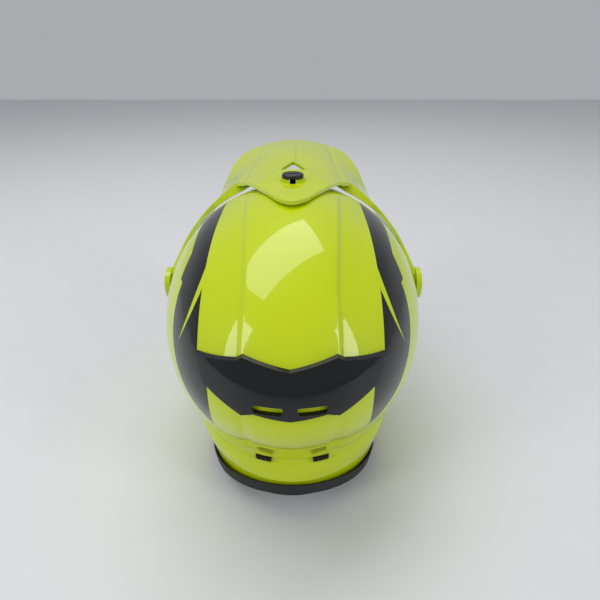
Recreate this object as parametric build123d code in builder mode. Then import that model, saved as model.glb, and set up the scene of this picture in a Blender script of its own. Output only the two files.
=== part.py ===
"""Motocross helmet, in millimetres.

The front is -Y, up is +Z.  The origin lies on the plane that the helmet stands on,
under the highest point of its crown.  One family of forms makes the shell and all that
lines it: the same half-ellipse outlines, moved in by a named depth.
"""

from build123d import *
from math import cos, radians, sin
import os

os.makedirs("parts", exist_ok=True)

# ---- driving sizes of the outer shell ----
shell_half_width = 129.0  # at the widest level
shell_front = 150.0  # crown plane to brow
shell_rear = 181.0  # crown plane to the back of the head
widest_z = 150.0
crown_height = 274.0
crown_rise = crown_height - widest_z
skirt_half_width = 96.0
chin_bottom_front = 166.0
chin_half_width = 108.0
chin_front = 184.5
chin_z = 46.0
nape_rear = 146.0
mouth_half_width = 117.0
mouth_front = 183.0
mouth_z = 76.0
cheek_half_width = 125.0
cheek_front = 170.0
cheek_rear = 168.0
cheek_z = 112.0
skirt_z = -8.0  # forms start under the floor and are trimmed to the base line

# ---- walls, depths from the outer surface ----
shell_wall = 4.0
seat_gap = 0.3  # between neighbours that don't touch
foam_depth = shell_wall + seat_gap
foam_wall = 31.0
lining_depth = foam_depth + foam_wall + seat_gap
lining_wall = 11.0
chin_foam_wall = 17.0
cheek_foam_wall = 40.0
trim_proud = 1.5
trim_height = 9.0
trim_sole = 2.5

# ---- base line, seen from the side ----
heel_y = 62.0  # the flat base ends here and the nape lifts
nape_lift = 33.0
nape_lift_y = 150.0
far = 240.0  # reach of cutting bodies

# ---- eye port, seen from the front ----
port_half_width = 98.0
port_mid_z = 148.0
port_top_z = 188.0
port_top_half = 78.0
port_bottom_z = 107.0
port_bottom_half = 76.0
port_corner = 15.0
port_back_y = -52.0
port_lip_in = 2.5
port_lip_over = 5.0
port_taper = 0.6  # share of a growth that the slanted corners get

# ---- liner levels ----
lining_skirt_z = 118.0
cheek_pad_front_y = -96.0
cheek_pad_rear_y = 23.0
cheek_pad_bottom_z = 12.0
neck_roll_front_y = 70.0
neck_roll_wall = 14.0
foam_skirt_z = 98.0
foam_nape_y = 66.0
foam_nape_z = 50.0
foam_port_y = -100.0  # the foam stops here below the eye port
foam_pocket_gap = 1.0  # around each screw insert
chin_foam_back_y = -108.0
chin_foam_top_z = 99.0
chin_foam_bottom_z = 14.0

# ---- mouth vent ----
vent_half_width = 34.0
vent_z = 58.0
vent_half_height = 15.0
vent_corner = 7.0
vent_taper = 8.0  # how much narrower each side is at the bottom
vent_back_y = -60.0
vent_frame_rim = 5.0
vent_frame_proud = 3.0
vent_frame_lip = 4.0
louvre_count = 3
louvre_height = 3.0
louvre_pitch = 2 * vent_half_height / (louvre_count + 1)
grille_depth = 4.6
grille_wall = 1.6
grille_bar = 1.2
grille_pitch = 6.0
shutter_depth = 10.0
shutter_wall = 2.4
shutter_half_width = 26.0
shutter_slit = 3.6
shutter_gap = 0.3
rail_width = 3.0
rail_grip = 3.0
tab_width = 14.0
tab_reach = 8.0
tab_seat = 0.6
shutter_bridge = louvre_pitch - shutter_slit

# ---- peak and its pivots ----
peak_wall = 3.2
pivot_y = -12.0
pivot_z = 168.0
rib_thickness = 3.6  # the rolled rear edge of each arm
rib_depth = 13.0
rib_clearance = 3.0
boss_radius = 17.0
side_screw_head_radius = 11.0
side_screw_head_height = 3.0
side_screw_radius = 3.0
pivot_clearance = 0.06
tongue_half_width = 36.0
tongue_end_y = 47.0
tongue_end_radius = 13.0
slot_half_length = 11.5
slot_shift = 2.0
air_hole_y = -47.0
air_hole_radius = 16.0
peak_tip_y = -187.0
boss_inner_x = 130.7
insert_face_x = 127.4
boss_outer_x = 136.2
head_seat_x = 134.0
shoulder_radius = 6.0
centre_screw_head_radius = 10.5
centre_screw_head_height = 3.0
centre_screw_radius = 3.0
head_clearance = 0.9
insert_radius = 7.0
insert_height = 7.0
insert_seat = 0.5  # the insert stops this far above its pocket
side_screw_tip_x = 118.0
driver_slot_width = 2.0
driver_slot_depth = 1.6
front_plane = 100.0  # distance ahead of the crown where cuts through the chin start

# ---- rear vents ----
spoiler_wall = 3.6
spoiler_seat = seat_gap
spoiler_half_width = 72.0
slot_inner_x = 5.0
slot_outer_x = 27.0
slot_low_z = 163.5
slot_high_z = 169.5
rear_duct_radius = 5.0
lower_slot_x = 26.0
lower_slot_z = 69.0
lower_slot_width = 15.0
lower_slot_height = 5.0

# ---- crown vents ----
crown_vent_x = 52.0
crown_vent_y = -78.0
crown_vent_width = 22.0
crown_vent_length = 30.0

# ---- nose guard ----
nose_depth = 10.0
nose_half_width = 26.0
nose_height = 34.0
nose_wall = 2.0

# ---- chin strap ----
strap_width = 25.0
strap_wall = 2.0
strap_y = 38.0
strap_anchor_z = 76.0
strap_top = (104.0, 82.0)  # x and z against the anchor plate
strap_turn = (99.8, 68.0)
strap_knee = (68.0, 21.0)
strap_bend = 14.0
strap_end_x = 12.0
strap_end_z = 14.0
anchor_radius = 10.0
anchor_wall = 1.6
rivet_radius = 3.0
rivet_clearance = 0.1
rivet_head_radius = 6.0
rivet_head_height = 2.0
rivet_inner_x = 100.0
snap_radius = 6.0
snap_height = 2.4
snap_x = 26.0
snap_lift = 3.8
ring_wire_radius = 1.6
ring_inner_width = 27.0
ring_drop = 21.0
ring_axis_x = -13.0
ring_axis_z = 30.0
ring_spacing = 4.4
ring_loop_gap = 0.3


def upper_level(angle, depth):
    """Half-width, front and rear reach, and height of the crown at one latitude."""
    share = cos(radians(angle))
    rise = (crown_rise - depth) * sin(radians(angle))
    return (
        widest_z + rise,
        (shell_half_width - depth) * share,
        (shell_front - depth) * share,
        (shell_rear - depth) * share,
    )


def form_levels(depth):
    """The levels of the form that lies `depth` inside the outer surface."""
    lower = [
        (skirt_z, skirt_half_width, chin_bottom_front, nape_rear),
        (chin_z, chin_half_width, chin_front, nape_rear),
        (mouth_z, mouth_half_width, mouth_front, nape_rear + 1),
        (cheek_z, cheek_half_width, cheek_front, cheek_rear),
    ]
    lower = [(z, w - depth, f - depth, r - depth) for z, w, f, r in lower]
    return lower + [upper_level(angle, depth) for angle in (0, 24, 44, 60, 73, 83)]


def form(depth):
    """A solid helmet form, `depth` inside the outer surface (negative is outside)."""
    with BuildPart() as body:
        for z, half_width, front, rear in form_levels(depth):
            with BuildSketch(Plane.XY.offset(z)):
                with BuildLine():
                    EllipticalCenterArc((0, 0), half_width, rear, 0, arc_size=180)
                    EllipticalCenterArc((0, 0), half_width, front, 180, arc_size=180)
                make_face()
        sections = list(body.pending_faces)
        body.pending_faces.clear()
        body.pending_face_planes.clear()
        loft(sections + [Vertex(0, 0, crown_height - depth)])
    return body.part


def side_mask(points, half=far):
    """A body with a side-view outline of (y, z) points, centred on the mid-plane."""
    with BuildPart() as mask:
        with BuildSketch(Plane.YZ):
            with BuildLine():
                Polyline(*points, close=True)
            make_face()
        extrude(amount=half, both=True)
    return mask.part


def front_mask(points, y_from, y_to, corner=0.0):
    """A body with a front-view outline of (x, z) points, between two planes across Y."""
    with BuildPart() as mask:
        with BuildSketch(Plane.XZ.offset(-y_to)) as outline:
            with BuildLine():
                Polyline(*points, close=True)
            make_face()
            if corner > 0:
                fillet(outline.vertices(), corner)
        extrude(amount=y_to - y_from)
    return mask.part


def base_line(lift):
    """Side-view outline of everything above the base line, raised by `lift`."""
    return [
        (-far, lift),
        (heel_y, lift),
        (nape_lift_y, nape_lift + lift),
        (far, nape_lift + lift),
        (far, far * 2),
        (-far, far * 2),
    ]


def port_outline(grow):
    return [
        (-port_half_width - grow, port_mid_z),
        (-port_top_half - grow * port_taper, port_top_z + grow),
        (port_top_half + grow * port_taper, port_top_z + grow),
        (port_half_width + grow, port_mid_z),
        (port_bottom_half + grow * port_taper, port_bottom_z - grow),
        (-port_bottom_half - grow * port_taper, port_bottom_z - grow),
    ]


def vent_outline(grow):
    return [
        (-vent_half_width - grow, vent_z + vent_half_height + grow),
        (vent_half_width + grow, vent_z + vent_half_height + grow),
        (vent_half_width - vent_taper + grow, vent_z - vent_half_height - grow),
        (-vent_half_width + vent_taper - grow, vent_z - vent_half_height - grow),
    ]


def port_cut(grow=0.0):
    return front_mask(port_outline(grow), -far, port_back_y, port_corner + grow)


def vent_cut(grow=0.0):
    return front_mask(vent_outline(grow), -far, vent_back_y, vent_corner + grow)


outer = form(0)
shell_inner = form(shell_wall)
foam_outer = form(foam_depth)
foam_inner = form(foam_depth + foam_wall)
lining_outer = form(lining_depth)
lining_inner = form(lining_depth + lining_wall)
trim_outer = form(-trim_proud)

# ---- shell ----
with BuildPart() as shell:
    add(outer)
    add(shell_inner, mode=Mode.SUBTRACT)
    add(side_mask(base_line(trim_sole)), mode=Mode.INTERSECT)
    add(port_cut(), mode=Mode.SUBTRACT)
    add(vent_cut(), mode=Mode.SUBTRACT)
    # side pivots and crown screw
    with BuildSketch(Plane.YZ):
        with Locations((pivot_y, pivot_z)):
            Circle(insert_radius + seat_gap)
    extrude(amount=far, both=True, mode=Mode.SUBTRACT)
    with BuildSketch(Plane.XY.offset(widest_z)):
        with Locations((0, pivot_y)):
            Circle(insert_radius + seat_gap)
        with Locations((-crown_vent_x, crown_vent_y), (crown_vent_x, crown_vent_y)):
            RectangleRounded(crown_vent_width, crown_vent_length, 5)
    extrude(amount=far, mode=Mode.SUBTRACT)
    # rear ducts behind the spoiler and lower exhaust slots
    with BuildSketch(Plane.XZ):
        mid_x = (slot_inner_x + slot_outer_x) / 2
        with Locations((-mid_x, slot_high_z + 8), (mid_x, slot_high_z + 8)):
            Circle(rear_duct_radius)
        with Locations((-lower_slot_x, lower_slot_z), (lower_slot_x, lower_slot_z)):
            RectangleRounded(lower_slot_width, lower_slot_height, 2)
    extrude(amount=-far, mode=Mode.SUBTRACT)
    # rivets of the chin strap
    with BuildSketch(Plane.YZ):
        with Locations((strap_y, strap_anchor_z)):
            Circle(rivet_radius + rivet_clearance)
    extrude(amount=far, both=True, mode=Mode.SUBTRACT)


def slit_centres():
    """Heights of the open gaps between the louvres."""
    first = vent_z - vent_half_height + louvre_pitch / 2
    return [first + louvre_pitch * i for i in range(louvre_count + 1)]


def band(y_z_low, height):
    """Side-view outline of a band that follows the base line."""
    top = [(y, z + height) for y, z in reversed(y_z_low)]
    return y_z_low + top


def vertical_band(depth, wall, half_width, z_low, z_high):
    """An upright curved plate that follows the chin, straight along Z."""
    with BuildPart() as plate:
        with BuildSketch(Plane.XY.offset(z_low)):
            Ellipse(chin_half_width - depth, chin_front - depth)
            Ellipse(chin_half_width - depth - wall, chin_front - depth - wall, mode=Mode.SUBTRACT)
            with Locations((0, -chin_front)):
                Rectangle(2 * half_width, chin_front, mode=Mode.INTERSECT)
        extrude(amount=z_high - z_low)
    return plate.part


def x_cylinder(radius, y, z, x_from, x_to):
    """A round bar along X."""
    with BuildPart() as bar:
        with BuildSketch(Plane.YZ.offset(x_from)):
            with Locations((y, z)):
                Circle(radius)
        extrude(amount=x_to - x_from)
    return bar.part


def finish(builder, name):
    builder.part.label = name
    export_step(builder.part, f"parts/{name}.step")


finish(shell, "shell")

# ---- rubber edge trims ----
base_points = [(-far, 0), (heel_y, 0), (nape_lift_y, nape_lift), (far, nape_lift)]
with BuildPart() as lower_edge_trim:
    add(trim_outer)
    add(shell_inner, mode=Mode.SUBTRACT)
    add(side_mask(band(base_points, trim_height)), mode=Mode.INTERSECT)
    add(shell.part, mode=Mode.SUBTRACT)
finish(lower_edge_trim, "lower_edge_trim")

with BuildPart() as eye_port_trim:
    add(trim_outer)
    add(shell_inner, mode=Mode.SUBTRACT)
    add(port_cut(port_lip_over), mode=Mode.INTERSECT)
    add(port_cut(-port_lip_in), mode=Mode.SUBTRACT)
    add(shell.part, mode=Mode.SUBTRACT)
finish(eye_port_trim, "eye_port_trim")

# ---- impact liners ----
liner_outline = [
    (foam_port_y, foam_skirt_z),
    (foam_nape_y, foam_skirt_z),
    (foam_nape_y, foam_nape_z),
    (far, foam_nape_z),
    (far, 2 * far),
    (-far, 2 * far),
    (-far, widest_z),
    (foam_port_y, widest_z),
]
with BuildPart() as eps_liner:
    add(foam_outer)
    add(foam_inner, mode=Mode.SUBTRACT)
    add(side_mask(liner_outline), mode=Mode.INTERSECT)
    add(port_cut(), mode=Mode.SUBTRACT)
    with BuildSketch(Plane.XY.offset(crown_height - shell_wall - insert_height)):
        with Locations((0, pivot_y)):
            Circle(insert_radius + foam_pocket_gap)
    extrude(amount=far, mode=Mode.SUBTRACT)
    for side in (-1, 1):
        pocket = shell_half_width - shell_wall - insert_height
        with BuildSketch(Plane.YZ.offset(side * pocket)):
            with Locations((pivot_y, pivot_z)):
                Circle(insert_radius + foam_pocket_gap)
        extrude(amount=side * far, mode=Mode.SUBTRACT)
finish(eps_liner, "eps_liner")

chin_outline = [
    (-far, chin_foam_bottom_z),
    (chin_foam_back_y, chin_foam_bottom_z),
    (chin_foam_back_y, chin_foam_top_z),
    (-far, chin_foam_top_z),
]
with BuildPart() as eps_chin_bar:
    add(foam_outer)
    add(form(foam_depth + chin_foam_wall), mode=Mode.SUBTRACT)
    add(side_mask(chin_outline), mode=Mode.INTERSECT)
    with BuildSketch(Plane.XZ.offset(-chin_foam_back_y)):
        with Locations((0, vent_z + 1)):
            RectangleRounded(2 * (vent_half_width + 3), 2 * (vent_half_height + 9), vent_corner)
    extrude(amount=far, mode=Mode.SUBTRACT)
finish(eps_chin_bar, "eps_chin_bar")

# ---- comfort padding ----
with BuildPart() as comfort_liner:
    add(lining_outer)
    add(lining_inner, mode=Mode.SUBTRACT)
    with BuildSketch(Plane.XY.offset(lining_skirt_z)):
        Rectangle(2 * far, 2 * far)
    extrude(amount=far, mode=Mode.INTERSECT)
    add(port_cut(2), mode=Mode.SUBTRACT)
finish(comfort_liner, "comfort_liner")

for side, name in ((1, "cheek_pad_left"), (-1, "cheek_pad_right")):
    with BuildPart() as cheek_pad:
        add(foam_outer)
        add(form(foam_depth + cheek_foam_wall), mode=Mode.SUBTRACT)
        with BuildSketch(Plane.XY.offset(cheek_pad_bottom_z)):
            with Locations((side * far / 2, (cheek_pad_front_y + cheek_pad_rear_y) / 2)):
                Rectangle(far - 20, cheek_pad_rear_y - cheek_pad_front_y)
        extrude(amount=foam_skirt_z - 0.5 - cheek_pad_bottom_z, mode=Mode.INTERSECT)
    finish(cheek_pad, name)

neck_outline = [
    (neck_roll_front_y, foam_nape_z),
    (far, foam_nape_z),
    (far, lining_skirt_z - 0.5),
    (neck_roll_front_y, lining_skirt_z - 0.5),
]
with BuildPart() as neck_roll:
    add(lining_outer)
    add(form(lining_depth + neck_roll_wall), mode=Mode.SUBTRACT)
    add(side_mask(neck_outline), mode=Mode.INTERSECT)
finish(neck_roll, "neck_roll")

# ---- mouth vent ----
with BuildPart() as mouth_vent_frame:
    add(form(-vent_frame_proud))
    add(shell_inner, mode=Mode.SUBTRACT)
    add(vent_cut(vent_frame_rim), mode=Mode.INTERSECT)
    add(vent_cut(-vent_frame_lip), mode=Mode.SUBTRACT)
    add(shell.part, mode=Mode.SUBTRACT)
louvre_skin_outer = form(-1)
with BuildPart() as louvres:
    with BuildSketch(Plane.XZ.offset(front_plane)):
        for i in range(louvre_count):
            z = vent_z + (i - (louvre_count - 1) / 2) * louvre_pitch
            with Locations((0, z)):
                Rectangle(2 * vent_half_width - vent_taper, louvre_height)
    extrude(amount=far)
    add(louvre_skin_outer, mode=Mode.INTERSECT)
    add(shell_inner, mode=Mode.SUBTRACT)
    add(vent_cut(), mode=Mode.INTERSECT)
with BuildPart() as vent_front:
    add(mouth_vent_frame.part)
    add(louvres.part)
finish(vent_front, "mouth_vent_frame")

rail_x = shutter_half_width + shutter_gap + rail_width / 2
rail_low = vent_z - vent_half_height
rail_high = vent_z + vent_half_height
with BuildPart() as mouth_vent_grille:
    add(form(grille_depth))
    add(form(grille_depth + grille_wall), mode=Mode.SUBTRACT)
    with BuildSketch(Plane.XZ.offset(front_plane)):
        with Locations((0, vent_z)):
            Rectangle(2 * (rail_x + rail_width / 2), 2 * vent_half_height)
    extrude(amount=far, mode=Mode.INTERSECT)
    with BuildSketch(Plane.XZ.offset(front_plane)):
        rows = int(2 * vent_half_height / grille_pitch)
        columns = int(2 * shutter_half_width / grille_pitch)
        with Locations((0, vent_z)):
            with GridLocations(grille_pitch, grille_pitch, columns, rows):
                Rectangle(grille_pitch - grille_bar, grille_pitch - grille_bar)
    extrude(amount=far, mode=Mode.SUBTRACT)
rail_wall = shutter_depth + shutter_wall + 3 - grille_depth - grille_wall / 2
with BuildPart() as rails:
    add(form(grille_depth + grille_wall / 2))
    add(form(grille_depth + grille_wall / 2 + rail_wall), mode=Mode.SUBTRACT)
    with BuildSketch(Plane.XZ.offset(front_plane)):
        for side in (-1, 1):
            with Locations((side * (rail_x - rail_grip / 2), vent_z)):
                Rectangle(rail_width + rail_grip, 2 * vent_half_height)
    extrude(amount=far, mode=Mode.INTERSECT)
    add(
        vertical_band(
            shutter_depth - shutter_gap,
            shutter_wall + 2 * shutter_gap,
            shutter_half_width + shutter_gap,
            rail_low - 10,
            rail_high + 10,
        ),
        mode=Mode.SUBTRACT,
    )
with BuildPart() as grille:
    add(mouth_vent_grille.part)
    add(rails.part)
finish(grille, "mouth_vent_grille")

with BuildPart() as mouth_vent_shutter:
    add(vertical_band(shutter_depth, shutter_wall, shutter_half_width, rail_low, rail_high))
    with BuildSketch(Plane.XZ.offset(front_plane)):
        for z in slit_centres():
            with Locations((0, z)):
                Rectangle(2 * (shutter_half_width - rail_grip - 2), shutter_slit)
    extrude(amount=far, mode=Mode.SUBTRACT)
    tab_y = -(chin_front - shutter_depth - shutter_wall + tab_seat)
    with BuildSketch(Plane.XY.offset(vent_z - shutter_bridge / 2)):
        with Locations((0, tab_y)):
            Rectangle(tab_width, tab_reach, align=(Align.CENTER, Align.MIN))
    extrude(amount=shutter_bridge)
finish(mouth_vent_shutter, "mouth_vent_shutter")

# ---- nose guard ----
nose_outline = [
    (-nose_half_width - 6, chin_foam_top_z),
    (nose_half_width + 6, chin_foam_top_z),
    (nose_half_width, chin_foam_top_z + nose_height),
    (9, chin_foam_top_z + nose_height - 10),
    (-9, chin_foam_top_z + nose_height - 10),
    (-nose_half_width, chin_foam_top_z + nose_height),
]
with BuildPart() as nose_guard:
    add(form(nose_depth))
    add(form(nose_depth + nose_wall), mode=Mode.SUBTRACT)
    add(front_mask(nose_outline, -far, -100), mode=Mode.INTERSECT)
finish(nose_guard, "nose_guard")

# ---- peak ----
peak_stations = [  # y, half-width and ridge height of the arch that the peak is cut from
    (62, 132.0, 275.0),
    (0, 135.4, 279.5),
    (-60, 126.0, 286.0),
    (-125, 122.0, 290.0),
    (peak_tip_y, 158.0, 289.0),
]


def arch(depth):
    """The arch over the shell, `depth` inside the peak's top surface."""
    with BuildPart() as body:
        for y, half_width, top in peak_stations:
            rise = top - widest_z - depth
            with BuildSketch(Plane.XZ.offset(-y)):
                with BuildLine():
                    EllipticalCenterArc((0, widest_z), half_width - depth, rise, 0, arc_size=180)
                    Line((-half_width + depth, widest_z), (half_width - depth, widest_z))
                make_face()
        loft()
    return body.part


rear_edge = [(-5, 182), (-23, 204), (-31, 224), (-41, 245), (-61, 270)]  # of each arm
side_outline = [
    (peak_tip_y - 1, 310),
    (peak_tip_y - 1, 277),
    (-172, 270),
    (-125, 243),
    (-75, 211),
    (-29, 181),
    (-24, 156),
    (0, 156),
    *rear_edge,
    (-68, 310),
]
rib_outline = rear_edge + [(y - rib_thickness, z - 1) for y, z in reversed(rear_edge)]
with BuildPart() as arm_rib:
    add(arch(0))
    add(arch(rib_depth), mode=Mode.SUBTRACT)
    add(side_mask(rib_outline), mode=Mode.INTERSECT)
    add(form(-rib_clearance), mode=Mode.SUBTRACT)
neck_points = [(66, -72), (66, -62), (46, -32), (tongue_half_width, -8), (12, tongue_end_y - 11)]
with BuildPart() as tongue_mask:
    with BuildSketch(Plane.XY.offset(widest_z + 60)):
        with BuildLine():
            Polyline(*neck_points, *[(-x, y) for x, y in reversed(neck_points)], close=True)
        make_face()
        with Locations((0, tongue_end_y - tongue_end_radius)):
            Circle(tongue_end_radius)
    extrude(amount=far)
with BuildPart() as blade_mask:
    add(side_mask(side_outline))
    add(tongue_mask.part)
seat_top = 282.0
with BuildPart() as peak:
    add(arch(0))
    add(arch(peak_wall), mode=Mode.SUBTRACT)
    add(blade_mask.part, mode=Mode.INTERSECT)
    add(arm_rib.part)
    # flat seat for the centre screw, pivot bosses
    with BuildSketch(Plane.XY.offset(seat_top)):
        with Locations((0, pivot_y)):
            Circle(centre_screw_head_radius + 2)
    extrude(amount=-4)
    for side in (-1, 1):
        with BuildSketch(Plane.YZ.offset(side * boss_inner_x)):
            with Locations((pivot_y, pivot_z)):
                Circle(boss_radius)
        extrude(amount=side * (boss_outer_x - boss_inner_x))
        with BuildSketch(Plane.YZ.offset(side * insert_face_x)):
            with Locations((pivot_y, pivot_z)):
                Circle(shoulder_radius + pivot_clearance)
        extrude(amount=side * far, mode=Mode.SUBTRACT)
        with BuildSketch(Plane.YZ.offset(side * head_seat_x)):
            with Locations((pivot_y, pivot_z)):
                Circle(side_screw_head_radius + seat_gap)
        extrude(amount=side * far, mode=Mode.SUBTRACT)
    # screw slot and air hole
    with BuildSketch(Plane.XY.offset(widest_z)):
        with Locations((0, pivot_y + slot_shift)):
            SlotOverall(2 * slot_half_length, 2 * centre_screw_radius + 1, rotation=90)
        with Locations((0, air_hole_y)):
            RegularPolygon(air_hole_radius, 3, rotation=-90)
    extrude(amount=far, mode=Mode.SUBTRACT)
finish(peak, "peak")

# ---- peak fasteners ----
with BuildPart() as peak_side_screws:
    for side in (-1, 1):
        shoulder_from = insert_face_x + seat_gap
        head_from = head_seat_x + seat_gap
        add(x_cylinder(side_screw_radius, pivot_y, pivot_z, side * side_screw_tip_x, side * (shoulder_from + 1)))
        add(x_cylinder(shoulder_radius, pivot_y, pivot_z, side * shoulder_from, side * (head_from + 1)))
        head_to = head_from + side_screw_head_height
        add(x_cylinder(side_screw_head_radius, pivot_y, pivot_z, side * head_from, side * head_to))
        with BuildSketch(Plane.YZ.offset(side * head_to)):
            with Locations((pivot_y, pivot_z)):
                Rectangle(2 * side_screw_head_radius - 6, driver_slot_width)
        extrude(amount=-side * driver_slot_depth, mode=Mode.SUBTRACT)
finish(peak_side_screws, "peak_side_screws")

with BuildPart() as peak_side_inserts:
    for side in (-1, 1):
        inner_x = shell_half_width - shell_wall - insert_height + insert_seat
        add(x_cylinder(insert_radius, pivot_y, pivot_z, side * inner_x, side * insert_face_x))
        add(
            x_cylinder(side_screw_radius + pivot_clearance, pivot_y, pivot_z, side * 100, side * 140),
            mode=Mode.SUBTRACT,
        )
finish(peak_side_inserts, "peak_side_inserts")

crown_insert_low = crown_height - shell_wall - insert_height + insert_seat
with BuildPart() as peak_centre_screw:
    with BuildSketch(Plane.XY.offset(crown_insert_low)):
        with Locations((0, pivot_y)):
            Circle(centre_screw_radius)
    extrude(amount=seat_top + head_clearance + 0.5 - crown_insert_low)
    with BuildSketch(Plane.XY.offset(seat_top + head_clearance)):
        with Locations((0, pivot_y)):
            Circle(centre_screw_head_radius)
    extrude(amount=centre_screw_head_height)
    fillet(peak_centre_screw.edges().group_by(Axis.Z)[-1], 1.2)
    with BuildSketch(Plane.XY.offset(seat_top + head_clearance + centre_screw_head_height)):
        with Locations((0, pivot_y)):
            Rectangle(12, 2)
    extrude(amount=-1.5, mode=Mode.SUBTRACT)
finish(peak_centre_screw, "peak_centre_screw")

with BuildPart() as peak_centre_insert:
    with BuildSketch(Plane.XY.offset(crown_insert_low)):
        with Locations((0, pivot_y)):
            Circle(insert_radius)
            Circle(centre_screw_radius + pivot_clearance, mode=Mode.SUBTRACT)
    extrude(amount=crown_height + 0.6 - crown_insert_low)
finish(peak_centre_insert, "peak_centre_insert")

# ---- rear spoiler over the extractor vents ----
spoiler_half_outline = [
    (0, 194),
    (34, 200),
    (39, 197),
    (spoiler_half_width, 189),
    (66, 172),
    (63, 170.5),
    (36, 158.5),
    (27, 162),
    (0, 158.5),
]
spoiler_outline = spoiler_half_outline + [(-x, z) for x, z in reversed(spoiler_half_outline[1:-1])]
with BuildPart() as rear_spoiler:
    add(form(-spoiler_seat - spoiler_wall))
    add(form(-spoiler_seat), mode=Mode.SUBTRACT)
    add(front_mask(spoiler_outline, 60, far), mode=Mode.INTERSECT)
    with BuildSketch(Plane.XZ.offset(-60)):
        with Locations(
            (-mid_x, (slot_low_z + slot_high_z) / 2),
            (mid_x, (slot_low_z + slot_high_z) / 2),
        ):
            RectangleRounded(slot_outer_x - slot_inner_x, slot_high_z - slot_low_z, 2)
    extrude(amount=-far, mode=Mode.SUBTRACT)
finish(rear_spoiler, "rear_spoiler")

with BuildPart() as rear_duct_screens:
    add(form(1))
    add(form(3), mode=Mode.SUBTRACT)
    with BuildSketch(Plane.XZ.offset(-60)):
        with Locations((-mid_x, slot_high_z + 8), (mid_x, slot_high_z + 8)):
            Circle(rear_duct_radius - seat_gap)
    extrude(amount=-far, mode=Mode.INTERSECT)
finish(rear_duct_screens, "rear_duct_screens")

with BuildPart() as lower_exhaust_inserts:
    add(form(-1))
    add(form(shell_wall), mode=Mode.SUBTRACT)
    with BuildSketch(Plane.XZ.offset(-60)):
        with Locations((-lower_slot_x, lower_slot_z), (lower_slot_x, lower_slot_z)):
            RectangleRounded(lower_slot_width - 0.4, lower_slot_height - 0.4, 1.6)
        with Locations((-lower_slot_x, lower_slot_z), (lower_slot_x, lower_slot_z)):
            with GridLocations(4.5, 1, 3, 1):
                Rectangle(3, lower_slot_height - 2.4, mode=Mode.SUBTRACT)
    extrude(amount=-far, mode=Mode.INTERSECT)
finish(lower_exhaust_inserts, "lower_exhaust_inserts")

with BuildPart() as crown_vent_inserts:
    add(form(-2))
    add(form(shell_wall), mode=Mode.SUBTRACT)
    with BuildSketch(Plane.XY.offset(widest_z)):
        for side in (-1, 1):
            with Locations((side * crown_vent_x, crown_vent_y)):
                RectangleRounded(crown_vent_width - 0.6, crown_vent_length - 0.6, 4.7)
                with GridLocations(1, 6.5, 1, 4):
                    Rectangle(crown_vent_width - 5, 3.2, mode=Mode.SUBTRACT)
    extrude(amount=far, mode=Mode.INTERSECT)
finish(crown_vent_inserts, "crown_vent_inserts")

# ---- chin strap ----
with BuildPart() as strap_anchor_plates:
    add(foam_outer)
    add(form(foam_depth + anchor_wall), mode=Mode.SUBTRACT)
    with BuildSketch(Plane.YZ.offset(-far)):
        with Locations((strap_y, strap_anchor_z)):
            Circle(anchor_radius)
            Circle(rivet_radius + rivet_clearance, mode=Mode.SUBTRACT)
    extrude(amount=2 * far, mode=Mode.INTERSECT)
finish(strap_anchor_plates, "strap_anchor_plates")

with BuildPart() as rivet_heads:
    add(form(-rivet_head_height))
    add(form(-seat_gap / 3), mode=Mode.SUBTRACT)
    with BuildSketch(Plane.YZ.offset(-far)):
        with Locations((strap_y, strap_anchor_z)):
            Circle(rivet_head_radius)
    extrude(amount=2 * far, mode=Mode.INTERSECT)
with BuildPart() as strap_rivets:
    add(form(-1))
    with BuildSketch(Plane.YZ.offset(-far)):
        with Locations((strap_y, strap_anchor_z)):
            Circle(rivet_radius)
    extrude(amount=2 * far, mode=Mode.INTERSECT)
    with BuildSketch(Plane.YZ.offset(-rivet_inner_x)):
        Rectangle(4 * far, 4 * far)
    extrude(amount=2 * rivet_inner_x, mode=Mode.SUBTRACT)
    add(rivet_heads.part)
finish(strap_rivets, "strap_rivets")


def strap_sketch_plane(width):
    return Plane.XZ.offset(-(strap_y + width / 2))


def mirrored(point, side):
    return (side * point[0], point[1])


loop_inner_radius = ring_wire_radius + ring_loop_gap
loop_outer_radius = loop_inner_radius + strap_wall
strap_ends = {
    1: (strap_end_x, strap_end_z),
    -1: (-ring_axis_x + ring_spacing / 2 + loop_inner_radius + 1, ring_axis_z),
}
for side, name in ((1, "chin_strap_left"), (-1, "chin_strap_right")):
    knee = (strap_knee[0], strap_ends[side][1] + 7)
    route = [strap_top, strap_turn, knee, strap_ends[side]]
    with BuildPart() as chin_strap:
        with BuildSketch(strap_sketch_plane(strap_width)):
            with BuildLine():
                FilletPolyline(*[mirrored(p, side) for p in route], radius=strap_bend)
            trace(line_width=strap_wall)
            if side < 0:
                with Locations((ring_axis_x, ring_axis_z)):
                    SlotCenterToCenter(ring_spacing, 2 * loop_outer_radius)
                    SlotCenterToCenter(ring_spacing, 2 * loop_inner_radius, mode=Mode.SUBTRACT)
        extrude(amount=strap_width)
        with BuildSketch(Plane.YZ):
            with Locations((strap_y, strap_anchor_z)):
                Circle(rivet_radius + rivet_clearance)
        extrude(amount=side * far, mode=Mode.SUBTRACT)
    finish(chin_strap, name)

with BuildPart() as strap_snap:
    with BuildSketch(Plane.XY.offset(strap_end_z + snap_lift)):
        with Locations((snap_x, strap_y)):
            Circle(snap_radius)
    extrude(amount=snap_height)
finish(strap_snap, "strap_snap")

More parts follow.
